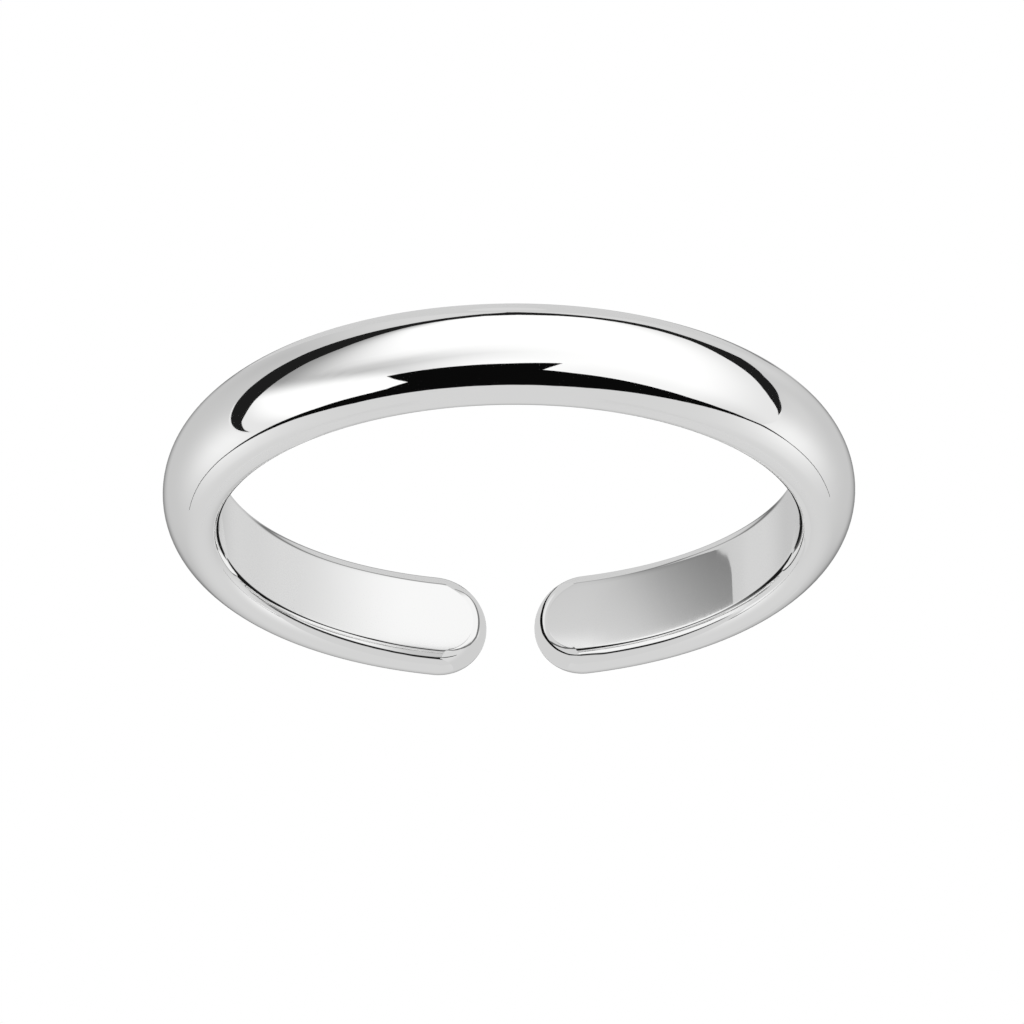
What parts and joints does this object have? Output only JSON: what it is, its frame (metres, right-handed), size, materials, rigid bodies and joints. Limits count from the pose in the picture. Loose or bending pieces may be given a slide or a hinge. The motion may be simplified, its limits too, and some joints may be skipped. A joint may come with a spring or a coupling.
{
  "type": "toe ring",
  "caption": "Plain half round open toe ring in polished silver: one bent band, flat inside and domed outside, with a gap between two rounded ends.",
  "frame": {"origin": "on the ring's axis, level with the lower rim that the ring rests on", "axes": "+Z along the ring's axis, upwards from the rim it lies on; +X across the ring, parallel to the gap's width; +Y from the axis through the middle of the gap between the two ends"},
  "size_m": [0.018, 0.0177, 0.0027],
  "materials": {
    "silver": "mirror polished sterling silver"
  },
  "bodies": {
    "root": {"band": "silver"}
  },
  "joints": []
}
